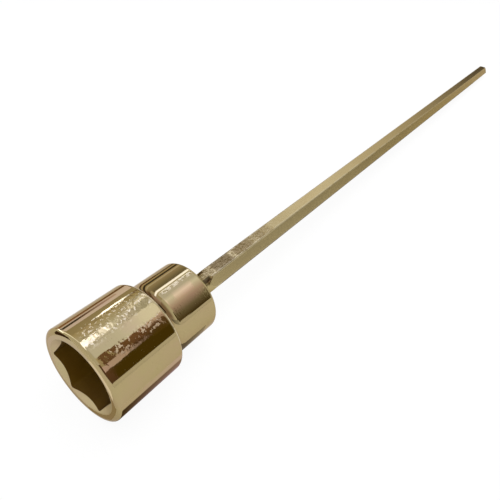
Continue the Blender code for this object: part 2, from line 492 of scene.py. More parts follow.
@dataclass(frozen=True)
class PolishedPlating:
    """Bright warm plating over a turned and tumbled socket, with peening along its near side.

    Sectors are in degrees round the axis, from straight up towards the camera's side.
    """

    colour: Colour = (0.376, 0.302, 0.145)
    rosy: Colour = (0.39, 0.288, 0.162)
    pitted: Colour = (0.2, 0.145, 0.06)
    # Light tone of the edge wear, painted bright enough to stand in for a highlight.
    lighter_tone: Colour = (0.74, 0.66, 0.5)
    struck: Colour = (0.58, 0.49, 0.31)
    # Tone of the painted shade in the crease of the shoulder.
    shade_and_stain_tone: Colour = (0.12, 0.056, 0.02)
    edge_tint: Colour = (0.7, 0.62, 0.55)
    pit_cover: float = 0.4
    wear_and_highlight_cover: float = 0.8
    shade_and_stain_cover: float = 0.85

    gloss: float = 0.03
    haze: float = 0.075
    frost: float = 0.3
    scuffed: float = 0.05
    reamed: float = 0.42

    flecks: Grain = Grain(1350.0, 2.5, (0.55, 0.61))
    row_flecks: Grain = Grain(1350.0, 2.5, (0.46, 0.52))
    pocks: Grain = Grain(1600.0, step=(0.45, 0.4))
    pits: Grain = Grain(2300.0, 1.0, (0.74, 0.78))
    blotches: Grain = Grain(160.0, 3.0, (0.35, 0.7))
    streaks: Grain = Grain(420.0, 2.0, (0.35, 0.7), (0.3, 2.4, 2.4), (0.0, 0.35, 0.6))
    scuffs: Grain = Grain(500.0, step=(0.25, 0.5))
    patches: Grain = Grain(420.0, 3.0, (0.37, 0.53))

    ripples: Grain = Grain(520.0)
    ripple_depth: float = 3e-6
    turning: Grain = Grain(900.0, 1.0, stretch=(2.6, 0.5, 0.5))
    turning_depth: float = 9e-7
    peening: Grain = Grain(1100.0, 1.5)
    peening_depth: float = 2.4e-5
    grit: Grain = Grain(3400.0)
    grit_depth: float = 3.5e-6
    brushing: Grain = Grain(900.0, stretch=(2.6, 0.8, 0.8))
    brushing_depth: float = 1.6e-5

    upper_sector: Band = (-7.0, 17.0, 4.0)
    middle_sector: Band = (28.0, 41.0, 3.0)
    nose_length: Band = (0.0012, 0.0188, 0.0006)
    row_sector: Band = (6.5, 11.5, 1.0)
    row_length: Band = (0.0235, 0.034, 0.0005)
    brushed_sector: Band = (35.0, 51.0, 6.0)
    brushed_length: Band = (0.0225, 0.0335, 0.0006)
    # Where the painted shade lies in the crease: round the axis, along it, and inside a reach.
    painted_shade_sector: Band = (-12.0, 48.0, 9.0)
    painted_shade_length: Band = (0.0197, 0.0217, 0.0004)
    painted_shade_reach: Span = (0.0115, 0.0112)
    worn_highlight_edge: float = 0.0195
    worn_highlight_width: Span = (0.0006, 0.0001)
    lead_in_width: Span = (0.0003, 0.0001)

    def material(self) -> bpy.types.Material:
        """Build the nodes of the finish.

        Returns:
            The material.
        """
        mix = Recipe("polished_plating")
        bands, row = self.peened(mix)
        peen = mix.most(bands, row)
        specks = mix.times(bands, mix.spots(self.flecks))
        specks = mix.most(specks, mix.times(row, mix.spots(self.row_flecks)))
        pocks = mix.times(peen, mix.spots(self.pocks))
        pits = mix.spots(self.pits)
        streak = mix.noise(self.streaks)
        wear_and_highlight = self.wear_and_highlight(mix)

        tone = mix.blend(mix.times(mix.spots(self.blotches), streak), self.colour, self.rosy)
        tone = mix.blend(mix.times(mix.most(pits, pocks), self.pit_cover), tone, self.pitted)
        tone = mix.blend(specks, tone, self.struck)
        # Wear on the rear edge of the nose, painted light as a highlight line.
        tone = mix.blend(mix.times(wear_and_highlight, self.wear_and_highlight_cover), tone, self.lighter_tone)
        # Painted shade darkens the crease of the shoulder.
        tone = mix.blend(mix.times(self.painted_shade_and_stain(mix), self.shade_and_stain_cover), tone, self.shade_and_stain_tone)

        rough = mix.ramp(streak, *self.streaks.step, self.gloss, self.haze)
        rough = mix.math("ADD", rough, mix.times(mix.most(specks, pits), self.frost))
        rough = mix.math("ADD", rough, mix.times(wear_and_highlight, self.scuffed))
        rough = mix.most(rough, mix.times(self.lead_in(mix), self.reamed))

        normal = mix.bump(mix.noise(self.ripples), self.ripple_depth)
        normal = mix.bump(mix.noise(self.turning), self.turning_depth, normal)
        normal = mix.bump(mix.times(mix.noise(self.peening), peen), self.peening_depth, normal)
        normal = mix.bump(mix.times(mix.noise(self.grit), peen), self.grit_depth, normal)
        lines = mix.times(mix.noise(self.brushing), self.brushed(mix))
        normal = mix.bump(lines, self.brushing_depth, normal)
        return mix.dress(
            Base_Color=tone,
            Metallic=1.0,
            Roughness=rough,
            Specular_Tint=self.edge_tint,
            Normal=normal,
        )

    def peened(self, mix: Recipe) -> tuple[Signal, Signal]:
        """Where the socket is peened.

        Args:
            mix: The material in the making.

        Returns:
            Share of the two patchy bands along the nose, and of a fine row of dots along the collar.
        """
        bands = mix.most(mix.sector(self.upper_sector), mix.sector(self.middle_sector))
        nose = mix.times(bands, mix.length(self.nose_length), mix.spots(self.patches))
        return nose, mix.times(mix.sector(self.row_sector), mix.length(self.row_length))

    def brushed(self, mix: Recipe) -> Signal:
        """Share of fine brushing along the near side of the collar."""
        return mix.times(mix.sector(self.brushed_sector), mix.length(self.brushed_length))

    def painted_shade_and_stain(self, mix: Recipe) -> Signal:
        """Share of the painted shade that darkens the crease of the shoulder on its upper side, towards the
        camera.
        """
        crease = mix.times(mix.length(self.painted_shade_length), mix.ramp(mix.reach, *self.painted_shade_reach))
        return mix.times(crease, mix.sector(self.painted_shade_sector))

    def wear_and_highlight(self, mix: Recipe) -> Signal:
        """Share of the patchy wear on the rear edge of the nose, painted light to stand in for its highlight
        line.
        """
        edge = mix.ramp(mix.off(mix.along, self.worn_highlight_edge), *self.worn_highlight_width)
        return mix.times(edge, mix.spots(self.scuffs))

    def lead_in(self, mix: Recipe) -> Signal:
        """Share of the conical lead-in, which the reamer leaves dull."""
        cone = mix.math("ADD", mix.times(mix.along, LEAD_IN_SLOPE), mix.reach)
        return mix.ramp(mix.off(cone, LEAD_IN_RADIUS), *self.lead_in_width)


@dataclass(frozen=True)
class DarkBore:
    """Dark brown bore, with the lengthwise lines of the broach."""

    colour: Colour = (0.075, 0.036, 0.0012)
    lighter_tone: Colour = (0.1, 0.054, 0.004)
    rough: Span = (0.5, 0.7)
    shine: float = 0.12
    stains: Grain = Grain(260.0, 3.0, (0.4, 0.7))
    lines: Grain = Grain(2600.0, stretch=(0.03, 1.0, 1.0))
    line_depth: float = 6e-6

    def material(self) -> bpy.types.Material:
        """Build the nodes of the finish.

        Returns:
            The material.
        """
        mix = Recipe("dark_bore")
        lines = mix.noise(self.lines)
        tone = mix.blend(mix.times(mix.spots(self.stains), lines), self.colour, self.lighter_tone)
        return mix.dress(
            Base_Color=tone,
            Metallic=0.0,
            Roughness=mix.ramp(lines, *self.lines.step, *self.rough),
            Specular_IOR_Level=self.shine,
            Normal=mix.bump(lines, self.line_depth),
        )


@dataclass(frozen=True)
class SatinPlating:
    """Satin warm plating on drawn bar, with lengthwise grain and a peened patch next to the socket."""

    colour: Colour = (0.376, 0.3, 0.145)
    dull: Colour = (0.35, 0.272, 0.128)
    pitted: Colour = (0.17, 0.12, 0.05)
    # Light tone of the wear on the corners, which also stands in for the highlight along the ridges.
    lighter_tone: Colour = (0.44, 0.37, 0.22)
    # Tone of the painted shade next to the socket and of the stain on the peened patch.
    shade_and_stain_tone: Colour = (0.05, 0.035, 0.016)
    edge_tint: Colour = (0.63, 0.53, 0.41)
    pit_share: float = 0.45
    mark_cover: float = 0.6
    dull_cover: float = 0.9
    wear_and_highlight_cover: float = 0.8
    stain_share: float = 0.3
    shade_and_stain_cover: float = 0.9
    rough: Span = (0.17, 0.23)

    clouds: Grain = Grain(60.0, 3.0, (0.35, 0.65))
    pits: Grain = Grain(2600.0, 1.0, (0.7, 0.77))
    scuffs: Grain = Grain(240.0, 3.0, (0.3, 0.5))
    patches: Grain = Grain(330.0, step=(0.36, 0.5))
    dulling: Grain = Grain(190.0, 2.0, (0.2, 0.42), (0.6, 1.0, 1.0))
    grain: Grain = Grain(3200.0, 3.0, stretch=(0.02, 1.0, 1.0))
    grain_depth: float = 1.2e-6
    waves: Grain = Grain(90.0, stretch=(0.6, 1.0, 1.0))
    wave_depth: float = 8e-6
    dents: Grain = Grain(950.0, step=(0.48, 0.56))
    dent_depth: float = 8e-5

    corner_reach: Span = (0.00344, 0.00356)
    top_flat: Span = (0.0029, 0.0031)
    peened_length: Band = (0.0362, 0.0735, 0.0012)
    stained_length: Band = (0.0455, 0.0529, 0.0005)
    bare_length: Band = (0.0533, 0.055, 0.0003)
    bare_share: float = 0.85
    start_dulling: float = 0.55
    fade_start: float = 0.0625
    end_dulling: float = 0.3
    # Where the painted shade lies on the turned-off corners next to the socket.
    painted_shade_length: Band = (0.0385, 0.0421, 0.0004)
    painted_shade_off_flat: Span = (math.radians(15), math.radians(21))
    painted_shade_up: Span = (0.0008, 0.0014)

    def material(self) -> bpy.types.Material:
        """Build the nodes of the finish.

        Returns:
            The material.
        """
        mix = Recipe("satin_plating")
        patch = mix.times(mix.length(self.peened_length), mix.ramp(mix.up, *self.top_flat))
        peen = mix.times(patch, mix.spots(self.patches))
        stain = mix.times(patch, mix.length(self.stained_length))
        grain = mix.noise(self.grain)
        pits = mix.times(mix.spots(self.pits), self.pit_share)
        marks = mix.most(pits, mix.times(peen, mix.spots(self.dents)))
        # Painted shade on the turned-off corners next to the socket, together with the real stain on the
        # peened patch.
        painted_shade_and_stain = mix.most(self.painted_shade_and_stain(mix), mix.times(stain, self.stain_share))
        # Wear on the bar's corners, painted light as the highlight along the ridges.
        wear_and_highlight = mix.times(mix.ramp(mix.reach, *self.corner_reach), mix.spots(self.scuffs))

        tone = mix.blend(mix.times(mix.spots(self.clouds), grain), self.colour, self.dull)
        tone = mix.blend(mix.times(marks, self.mark_cover), tone, self.pitted)
        tone = mix.blend(mix.times(self.dulled(mix, patch), self.dull_cover), tone, self.pitted)
        tone = mix.blend(mix.times(wear_and_highlight, self.wear_and_highlight_cover), tone, self.lighter_tone)
        tone = mix.blend(mix.times(painted_shade_and_stain, self.shade_and_stain_cover), tone, self.shade_and_stain_tone)

        normal = mix.bump(grain, self.grain_depth)
        normal = mix.bump(mix.noise(self.waves), self.wave_depth, normal)
        normal = mix.bump(mix.times(mix.noise(self.dents), peen), self.dent_depth, normal)
        return mix.dress(
            Base_Color=tone,
            Metallic=1.0,
            Roughness=mix.ramp(grain, *self.grain.step, *self.rough),
            Specular_Tint=self.edge_tint,
            Normal=normal,
        )

    def dulled(self, mix: Recipe, patch: Signal) -> Signal:
        """How dull the peening has left its patch.

        Args:
            mix: The material in the making.
            patch: Share of the patch.

        Returns:
            Share of the dullness, full on the stain, less before and after it, and least on a bare spot.
        """
        stain_start, _, soft = self.stained_length
        fade = mix.ramp(mix.along, self.fade_start, self.peened_length[1], 1.0, self.end_dulling)
        fade = mix.times(fade, mix.ramp(mix.along, stain_start - soft, stain_start, self.start_dulling, 1.0))
        fade = mix.math("SUBTRACT", fade, mix.times(mix.length(self.bare_length), self.bare_share))
        return mix.times(patch, fade, mix.spots(self.dulling))

    def painted_shade_and_stain(self, mix: Recipe) -> Signal:
        """Share of the painted shade on the upper corners that are turned off next to the socket.

        Args:
            mix: The material in the making.

        Returns:
            The share.
        """
        off_flat = mix.math("PINGPONG", mix.math("ABSOLUTE", mix.turn), HEXAGON_PITCH / 2)
        corner = mix.times(mix.ramp(off_flat, *self.painted_shade_off_flat), mix.ramp(mix.up, *self.painted_shade_up))
        return mix.times(corner, mix.length(self.painted_shade_length))


@dataclass(frozen=True)
class BearingSteel:
    """Polished steel of the detent ball, with fine lapping scratches."""

    colour: Colour = (0.6, 0.58, 0.55)
    tarnish: Colour = (0.47, 0.43, 0.37)
    tarnish_cover: float = 0.6
    rough: Span = (0.07, 0.17)
    clouds: Grain = Grain(700.0, 3.0, (0.4, 0.7))
    lapping: Grain = Grain(5200.0, stretch=(0.12, 1.0, 1.0), turn=(0.4, 0.7, 0.2))
    lapping_depth: float = 8e-7

    def material(self) -> bpy.types.Material:
        """Build the nodes of the finish.

        Returns:
            The material.
        """
        mix = Recipe("ball_steel")
        lapping = mix.noise(self.lapping)
        cloud = mix.times(mix.spots(self.clouds), self.tarnish_cover)
        return mix.dress(
            Base_Color=mix.blend(cloud, self.colour, self.tarnish),
            Metallic=1.0,
            Roughness=mix.ramp(lapping, *self.lapping.step, *self.rough),
            Normal=mix.bump(lapping, self.lapping_depth),
        )


@dataclass(frozen=True)
class SpringWire:
    """Drawn spring wire with a thin film of oil stain."""

    colour: Colour = (0.35, 0.34, 0.33)
    stain: Colour = (0.19, 0.15, 0.11)
    stain_cover: float = 0.8
    rough: Span = (0.26, 0.42)
    film: Grain = Grain(900.0, 3.0, (0.42, 0.66))
    drawing: Grain = Grain(6500.0, stretch=(1.0, 1.0, 3.0))
    drawing_depth: float = 2e-6

    def material(self) -> bpy.types.Material:
        """Build the nodes of the finish.

        Returns:
            The material.
        """
        mix = Recipe("spring_steel")
        drawn = mix.noise(self.drawing)
        film = mix.times(mix.spots(self.film), self.stain_cover)
        return mix.dress(
            Base_Color=mix.blend(film, self.colour, self.stain),
            Metallic=1.0,
            Roughness=mix.ramp(drawn, *self.drawing.step, *self.rough),
            Normal=mix.bump(drawn, self.drawing_depth),
        )


# --- Sub-assemblies -------------------------------------------------------------------------------


@dataclass
class Socket:
    """Turned socket: round nose with a hexagon mouth, filleted shoulder, collar with a square hole."""

    nut_half_flats: float = 0.00855
    nut_depth: float = 0.0135
    nut_corner_round: float = 0.0011
    mouth_lip: float = 0.00016
    lip_steps: int = 4
    nose_radius: float = 0.0126227
    nose_length: float = 0.0197
    mouth_edge: float = 0.0015
    mouth_edge_flat: float = 0.55
    shoulder_edge: float = 0.0009
    shoulder_fillet: float = 0.0015
    shoulder_stretch: float = 2.2
    shoulder_steps: int = 24
    collar_radius: float = 0.0102227
    collar_middle: float = 0.028
    collar_edge: float = 0.0008
    length: float = 0.0349326
    stud_radius: float = 0.00725
    stud_end: float = 0.0187
    web_start: float = 0.0205326
    web_end: float = 0.0226326
    web_radius: float = 0.0042
    pilot_radius: float = 0.0056
    drive_ledge: float = 0.0234326
    drive_half: float = 0.00505
    drive_chamfer: float = 0.0010
    edge_loop: float = 0.00008
    columns: int = 360
    crease: float = 24.0
    finish: PolishedPlating = field(default_factory=PolishedPlating)
    bore_finish: DarkBore = field(default_factory=DarkBore)

    def hexagon(self, turn: float) -> float:
        """Reach of the nut's hexagon with its rounded corners."""
        return rounded_hexagon(self.nut_half_flats, self.nut_corner_round, turn)

    def mouth(self, turn: float) -> float:
        """Reach of the mouth where it meets the front face."""
        return max(LEAD_IN_RADIUS, self.hexagon(turn))

    def square(self, turn: float) -> float:
        """Reach of the drive hole, which a pilot drill has relieved at the middle of each side."""
        return max(self.pilot_radius, polygon_reach(self.drive_half, 4, turn))

    def outside(self) -> list[Row]:
        """Model the turned outside.

        Returns:
            Its rows, from the front face to the rear face.
        """
        edge, rear, near = self.shoulder_edge, self.collar_edge, self.edge_loop
        mouth = self.mouth_edge * self.mouth_edge_flat
        front = (mouth, self.nose_radius - self.mouth_edge)
        profile = fillet(front, self.mouth_edge, 180, 90, flat=self.mouth_edge_flat)
        nose = (mouth + near, self.nose_length / 2, self.nose_length - edge - near)
        profile += [(along, self.nose_radius) for along in nose]
        profile += fillet((self.nose_length - edge, self.nose_radius - edge), edge, 90, 0)
        deep, long = self.shoulder_fillet, self.shoulder_stretch
        hollow = (self.nose_length + deep * long, self.collar_radius + deep)
        profile += fillet(hollow, deep, 180, 270, self.shoulder_steps, long)[1:]
        collar = (hollow[0] + near, self.collar_middle, self.length - rear - near)
        profile += [(along, self.collar_radius) for along in collar]
        profile += fillet((self.length - rear, self.collar_radius - rear), rear, 90, 0)
        return rings(profile)

    def chamfer(self, turn: float) -> Point:
        """Place where the turned chamfer of the drive hole meets its wall.

        Args:
            turn: Angle round the axis.

        Returns:
            The place.
        """
        reach = self.square(turn)
        along = min(self.length - self.drive_chamfer + reach - self.pilot_radius, self.length)
        return polar(along, reach, turn)

    def drive_hole(self) -> list[Row]:
        """Model the square drive hole.

        Returns:
            Its rows, from the rear face in to the web.
        """
        rim = self.pilot_radius + self.drive_chamfer
        rows = [outline(self.length, lambda turn: max(rim, self.square(turn)))]
        rows += [self.chamfer, outline(self.drive_ledge, self.square)]
        return rows + rings([(self.drive_ledge, self.pilot_radius), (self.web_end, self.pilot_radius)])

    def cavity(self) -> list[Row]:
        """Model the stud bore and the nut's cavity.

        Returns:
            The rows, from the web out to the wall at the cavity's floor.
        """
        rows = rings([(self.web_end, self.web_radius), (self.web_start, self.web_radius)])
        rows += rings([(self.stud_end, self.stud_radius), (self.nut_depth, self.stud_radius)])
        return rows + [outline(self.nut_depth, self.hexagon)]

    def scallop(self, turn: float) -> Point:
        """Place where the conical lead-in meets the wall of the nut's cavity.

        Args:
            turn: Angle round the axis.

        Returns:
            The place.
        """
        reach = self.hexagon(turn)
        along = max(self.mouth_lip, (LEAD_IN_RADIUS - reach) / LEAD_IN_SLOPE)
        return polar(along, reach, turn)

    def lip(self, share: float, turn: float) -> Point:
        """Place on the small round between the lead-in and the front face, a curve past their corner.

        Args:
            share: Share of the way from the lead-in to the face.
            turn: Angle round the axis.

        Returns:
            The place.
        """
        corner = self.mouth(turn)
        inner = (self.mouth_lip, max(corner - self.mouth_lip * LEAD_IN_SLOPE, self.hexagon(turn)))
        outer = (0.0, corner + self.mouth_lip)
        weights = (1 - share) ** 2, 2 * share * (1 - share), share**2
        along = weights[0] * inner[0] + weights[2] * outer[0]
        reach = weights[0] * inner[1] + weights[1] * corner + weights[2] * outer[1]
        return polar(along, reach, turn)

    def build(self) -> Piece:
        """Model the socket.

        Returns:
            The piece, with its bore on a material slot of its own.
        """
        outside, hole, cavity = self.outside(), self.drive_hole(), self.cavity()
        lip = [partial(self.lip, step / self.lip_steps) for step in range(self.lip_steps + 1)]
        rows = outside + hole + cavity + [self.scallop] + lip
        shape, number = spun(rows, self.columns, closed=True)
        first = len(outside) + 1
        last = len(outside) + len(hole) + len(cavity)
        for face in shape.faces:
            inside = all(first <= corner[number] <= last for corner in face.verts)
            face.material_index = 1 if inside else 0
        return finished(shape, "turned_socket", self.crease, LAY.matrix())

    def dress(self, piece: Piece) -> None:
        """Give the socket its finishes and its place in the frame.

        Args:
            piece: The socket.
        """
        piece.data.materials.append(self.finish.material())
        piece.data.materials.append(self.bore_finish.material())
        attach(piece, "socket")
        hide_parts("socket")


@dataclass
class DriveRod:
    """Long hexagonal bar, necked up to a square tang in the socket that carries the ball's pocket."""

    start: float = 0.0237326
    neck_start: float = 0.0352326
    neck_length: float = 0.0035
    neck_step: float = 0.0025
    neck_steps: int = 10
    overall: float = 0.3556
    half_flats: float = 0.003175
    corner_round: float = 0.0004
    corner_half: float = math.radians(8)
    corner_half_gathered: float = math.radians(3.3)
    bar_steps: int = 24
    bar_end_margin: float = 0.0015
    end_chamfer: float = 0.0016
    relief_radius: float = 0.00312
    relief_flare: Span = (0.0402, 0.0431)
    relief_curve: float = 1.6
    relief_steps: int = 12
    tang_half: float = 0.00475
    tang_corner: float = 0.0007
    tang_end: float = 0.0008
    step_depth: float = 0.001
    ball_along: float = 0.0289326
    pocket_radius: float = 0.0023
    pocket_bottom: float = -0.00315
    pocket_columns: int = 48
    pocket_crease: float = 30.0
    lip_radius: float = 0.0016775
    lip_height: float = 0.0006
    cutter_margin: float = 0.001
    columns: int = 360
    crease: float = 24.0
    finish: SatinPlating = field(default_factory=SatinPlating)

    @property
    def corner(self) -> float:
        """Reach of the bar's hexagon at a sharp corner."""
        return self.half_flats / math.cos(math.pi / 6)

    def gathered(self, turn: float) -> float:
        """Turn of a column, with more of the columns gathered at the bar's rounded corners.

        Args:
            turn: Angle round the axis of an even column.

        Returns:
            The angle that the column moves to.
        """
        corner = round(turn / HEXAGON_PITCH) * HEXAGON_PITCH
        off = turn - corner
        wide, narrow, half = self.corner_half, self.corner_half_gathered, HEXAGON_PITCH / 2
        if abs(off) <= wide:
            off *= narrow / wide
        else:
            off = math.copysign(narrow + (abs(off) - wide) * (half - narrow) / (half - wide), off)
        return corner + off

    def bar(self, turn: float) -> float:
        """Reach of the bar's hexagon with its rounded corners."""
        return rounded_hexagon(self.half_flats, self.corner_round, turn)

    def relieved(self, share: float, turn: float) -> float:
        """Reach of the bar where its corners are turned off next to the socket, at one share of the flare."""
        turned = self.relief_radius + (self.corner - self.relief_radius) * share**self.relief_curve
        return min(self.bar(turn), turned)

    def necked(self, swell: float, turn: float) -> float:
        """Reach of the neck, whose round swell runs out on the bar."""
        return max(swell, self.relieved(0.0, turn))

    def tang(self, inset: float, turn: float) -> float:
        """Reach of the square tang with its chamfered corners.

        Args:
            inset: How far inside the tang's sides the outline lies.
            turn: Angle round the axis.

        Returns:
            The reach.
        """
        across = (2 * self.tang_half - self.tang_corner) / math.sqrt(2)
        corners = polygon_reach(across - inset, 4, turn + math.pi / 4)
        return min(polygon_reach(self.tang_half - inset, 4, turn), corners)

    def row(self, along: float, reach: Reach) -> Row:
        """Row at one place along the rod, whose reach a function gives at the gathered columns."""
        bare = outline(along, reach)
        return lambda turn: bare(self.gathered(turn))

    def end_row(self, turn: float) -> Point:
        """Place where the turned chamfer at the free end meets the bar's sides.

        Args:
            turn: Angle round the axis of an even column.

        Returns:
            The place.
        """
        at = self.gathered(turn)
        out = self.bar(at)
        return polar(self.overall - self.end_chamfer + self.corner - out, out, at)

    def rows(self) -> list[Row]:
        """Model the rod.

        Returns:
            Its rows, from the middle of the tang's end to the middle of the free end.
        """
        shoulder = self.neck_start + self.step_depth
        full_tang = partial(self.tang, 0.0)
        rows = rings([(self.start, 0.0)])
        rows += [self.row(self.start, partial(self.tang, self.tang_end))]
        rows += [self.row(self.start + self.tang_end, full_tang), self.row(shoulder, full_tang)]
        for step in range(1, self.neck_steps + 1):
            bend = math.pi / 2 * step / self.neck_steps
            along = self.neck_start + self.neck_length * (1 - math.cos(bend))
            swell = self.half_flats + self.neck_step * (1 - math.sin(bend))
            if along > shoulder:
                rows.append(self.row(along, partial(self.necked, swell)))
        flare_start, flare_end = self.relief_flare
        for step in range(self.relief_steps + 1):
            share = step / self.relief_steps
            along = flare_start + (flare_end - flare_start) * share
            rows.append(self.row(along, partial(self.relieved, share)))
        plain = self.overall - self.bar_end_margin - flare_end
        for step in range(1, self.bar_steps):
            rows.append(self.row(flare_end + plain * step / self.bar_steps, self.bar))
        tip = self.corner - self.end_chamfer
        rows += [self.end_row, self.row(self.overall, lambda turn: tip)]
        return rows + rings([(self.overall, 0.0)])

    def pocket(self) -> Piece:
        """Model the cutter for the ball's pocket, which a rolled lip narrows at the tang's flat.

        Returns:
            The cutter.
        """
        top = self.tang_half + self.cutter_margin
        profile = [(self.pocket_bottom, 0.0), (self.pocket_bottom, self.pocket_radius)]
        profile += [(self.tang_half - self.lip_height, self.pocket_radius), (self.tang_half, self.lip_radius)]
        profile += [(top, self.lip_radius), (top, 0.0)]
        shape, _ = spun(rings(profile), self.pocket_columns, closed=False)
        upright = Matrix.Translation((self.ball_along, 0, 0)) @ Matrix.Rotation(-math.pi / 2, 4, "Y")
        return finished(shape, "pocket_cutter", self.pocket_crease, LAY.matrix() @ upright)

    def build(self) -> Piece:
        """Model the rod and sink the ball's pocket into its tang.

        Returns:
            The piece.
        """
        shape, _ = spun(self.rows(), self.columns, closed=False)
        piece = finished(shape, "hexagon_drive_rod", self.crease, LAY.matrix())
        cutter = self.pocket()
        cut = piece.modifiers.new("ball_pocket", "BOOLEAN")
        cut.operation, cut.solver, cut.object = "DIFFERENCE", "EXACT", cutter
        graph = bpy.context.evaluated_depsgraph_get()
        carved = bpy.data.meshes.new_from_object(piece.evaluated_get(graph))
        piece.modifiers.clear()
        piece.data = carved
        carved.set_sharp_from_angle(angle=math.radians(self.crease))
        bpy.data.objects.remove(cutter)
        return piece

    def dress(self, piece: Piece) -> None:
        """Give the rod its finish and its place in the frame.

        Args:
            piece: The rod.
        """
        piece.data.materials.clear()
        piece.data.materials.append(self.finish.material())
        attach(piece, "rod")
        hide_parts("drive_rod")


@dataclass
class Detent:
    """Sprung ball in the side of the tang, which holds the socket on."""

    along: float = 0.0289326
    ball_radius: float = 0.002
    ball_height: float = 0.0033
    ball_rows: int = 32
    ball_columns: int = 64
    ball_crease: float = 40.0
    wire: float = 0.00045
    wire_sides: int = 14
    coil_radius: float = 0.001375
    spring_bottom: float = -0.002625
    spring_top: float = 0.001182
    turns: float = 3.5
    steps_per_turn: int = 40
    spring_crease: float = 50.0
    pressed_share: float = 0.84
    ball_finish: BearingSteel = field(default_factory=BearingSteel)
    wire_finish: SpringWire = field(default_factory=SpringWire)

    def build_ball(self) -> Piece:
        """Model the ball.

        Returns:
            The piece.
        """
        half_circle = fillet((0.0, 0.0), self.ball_radius, 180, 0, self.ball_rows)
        shape, _ = spun(rings(half_circle), self.ball_columns, closed=False)
        place = LAY.matrix() @ Matrix.Translation((self.along, 0, self.ball_height))
        return finished(shape, "steel_ball", self.ball_crease, place)

    def build_spring(self) -> Piece:
        """Model the coil by spinning a wire's section up its axis.

        Returns:
            The piece.
        """
        shape = bmesh.new()
        section = Matrix.Translation((self.coil_radius, 0, self.spring_bottom))
        section = section @ Matrix.Rotation(math.pi / 2, 4, "X")
        bmesh.ops.create_circle(shape, segments=self.wire_sides, radius=self.wire / 2, matrix=section)
        steps = round(self.turns * self.steps_per_turn)
        bmesh.ops.spin(
            shape,
            geom=shape.verts[:] + shape.edges[:],
            cent=(0, 0, 0),
            axis=(0, 0, 1),
            dvec=(0, 0, (self.spring_top - self.spring_bottom) / steps),
            angle=math.tau * self.turns,
            steps=steps,
        )
        rims = [edge for edge in shape.edges if edge.is_boundary]
        bmesh.ops.holes_fill(shape, edges=rims, sides=0)
        place = LAY.matrix() @ Matrix.Translation((self.along, 0, 0))
        return finished(shape, "coil_spring", self.spring_crease, place)

    def dress(self, ball: Piece, spring: Piece) -> None:
        """Give the ball and the spring their finishes and their places in the frame.

        Args:
            ball: The ball.
            spring: The spring.
        """
        ball.data.materials.append(self.ball_finish.material())
        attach(ball, "ball")
        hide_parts("detent_ball")
        spring.data.materials.append(self.wire_finish.material())
        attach(spring, "rod")
        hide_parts("detent_spring")
        foot = LAY.point(self.along, 0.0, self.spring_bottom - self.wire / 2)
        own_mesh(spring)


# --- Studio ---------------------------------------------------------------------------------------


@dataclass(frozen=True)
class Card:
    """Soft card or panel that the plating mirrors, bent round the tool's axis.

    Its lean is the angle round the axis, in degrees from straight up towards the camera's side, and its
    span the length that it covers along the axis. The glow runs from the first level and tint to the last.
    """

    name: str
    lean: Span
    span: Span
    level: Span
    tint: Tint = Tint.NEUTRAL
    last_tint: Tint | None = None
    grade: Grade = Grade.ACROSS
    distance: float = 0.5

    def build(self) -> Piece:
        """Bend the card round the axis and light it.

        Returns:
            The card, seen only in reflections.
        """
        shape = bmesh.new()
        glow = shape.verts.layers.float_color.new("glow")
        start, lean = math.radians(self.lean[0]), self.lean[1] - self.lean[0]
        sweep, steps = math.radians(lean), max(2, round(abs(lean) / CARD_STEP))
        foot = (-self.distance * math.sin(start), self.distance * math.cos(start))
        ends = [shape.verts.new((along, *foot)) for along in self.span]
        edge = shape.edges.new(ends)
        bmesh.ops.spin(shape, geom=ends + [edge], cent=(0, 0, 0), axis=(1, 0, 0), angle=sweep, steps=steps)
        first = self.level[0] * Vector(self.tint.value)
        last = self.level[1] * Vector((self.last_tint or self.tint).value)
        for corner in shape.verts:
            if self.grade is Grade.ACROSS:
                share = (math.atan2(-corner.co.y, corner.co.z) - start) / sweep
            else:
                share = (corner.co.x - self.span[0]) / (self.span[1] - self.span[0])
            corner[glow] = (*first.lerp(last, share), 1.0)
        bmesh.ops.transform(shape, matrix=LAY.matrix(), verts=shape.verts)
        card = linked(shape, self.name)
        card.data.materials.append(self.material())
        card.visible_camera = card.visible_diffuse = card.visible_shadow = False
        return card

    def material(self) -> bpy.types.Material:
        """Light the card with its own plain glow.

        Returns:
            The material.
        """
        mix = Recipe(self.name)
        mix.tree.nodes.remove(mix.shader)
        tone = mix.node("VertexColor", layer_name="glow").outputs["Color"]
        mix.surface(mix.node("Emission", {"Color": tone}).outputs["Emission"])
        return mix.material


@dataclass(frozen=True)
class Lamp:
    """Soft square lamp over the tool, with the side of its panel and its power in watts."""

    name: str
    place: Point
    size: float
    power: float
    target: Point = (0.0, 0.0, 0.01)

    def build(self) -> Piece:
        """Hang the lamp.

        Returns:
            The lamp, which the plating doesn't mirror.
        """
        data = bpy.data.lights.new(self.name, "AREA")
        data.size, data.energy = self.size, self.power
        lamp = bpy.data.objects.new(self.name, data)
        lamp.location = self.place
        aim = Vector(self.target) - Vector(self.place)
        lamp.rotation_euler = aim.to_track_quat("-Z", "Y").to_euler()
        lamp.visible_glossy = False
        bpy.context.scene.collection.objects.link(lamp)
        return lamp


